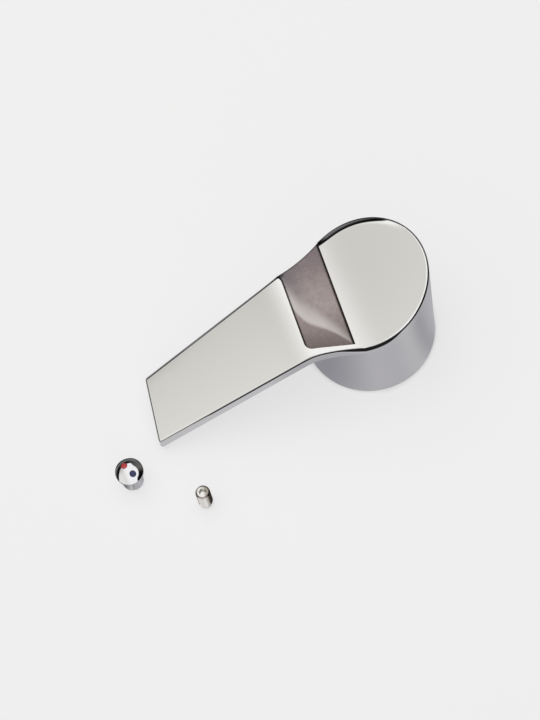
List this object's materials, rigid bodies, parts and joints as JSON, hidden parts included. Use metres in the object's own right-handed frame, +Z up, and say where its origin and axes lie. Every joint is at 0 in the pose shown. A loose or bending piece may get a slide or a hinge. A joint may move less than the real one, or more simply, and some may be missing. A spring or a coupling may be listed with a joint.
{
  "type": "tap handle",
  "caption": "Lever handle for a mixer tap: round hollow skirt with a sloped top, thumb scoop in the neck and a flat tapered lever, with its grub screw and indicator plug.",
  "frame": {"origin": "centre of the skirt's rim, in the plane that the handle stands on", "axes": "+Z up along the skirt's axis, the lever reaches along -X, +Y to the side where the thumb scoop runs out"},
  "size_m": [0.1223, 0.06, 0.0478],
  "materials": {
    "plated_zinc": "polished",
    "screw_steel": "satin",
    "plated_plastic": "polished"
  },
  "bodies": {
    "root": {"lever_handle": "plated_zinc", "grub_screw": "screw_steel", "indicator_plug": "plated_plastic"}
  },
  "joints": []
}
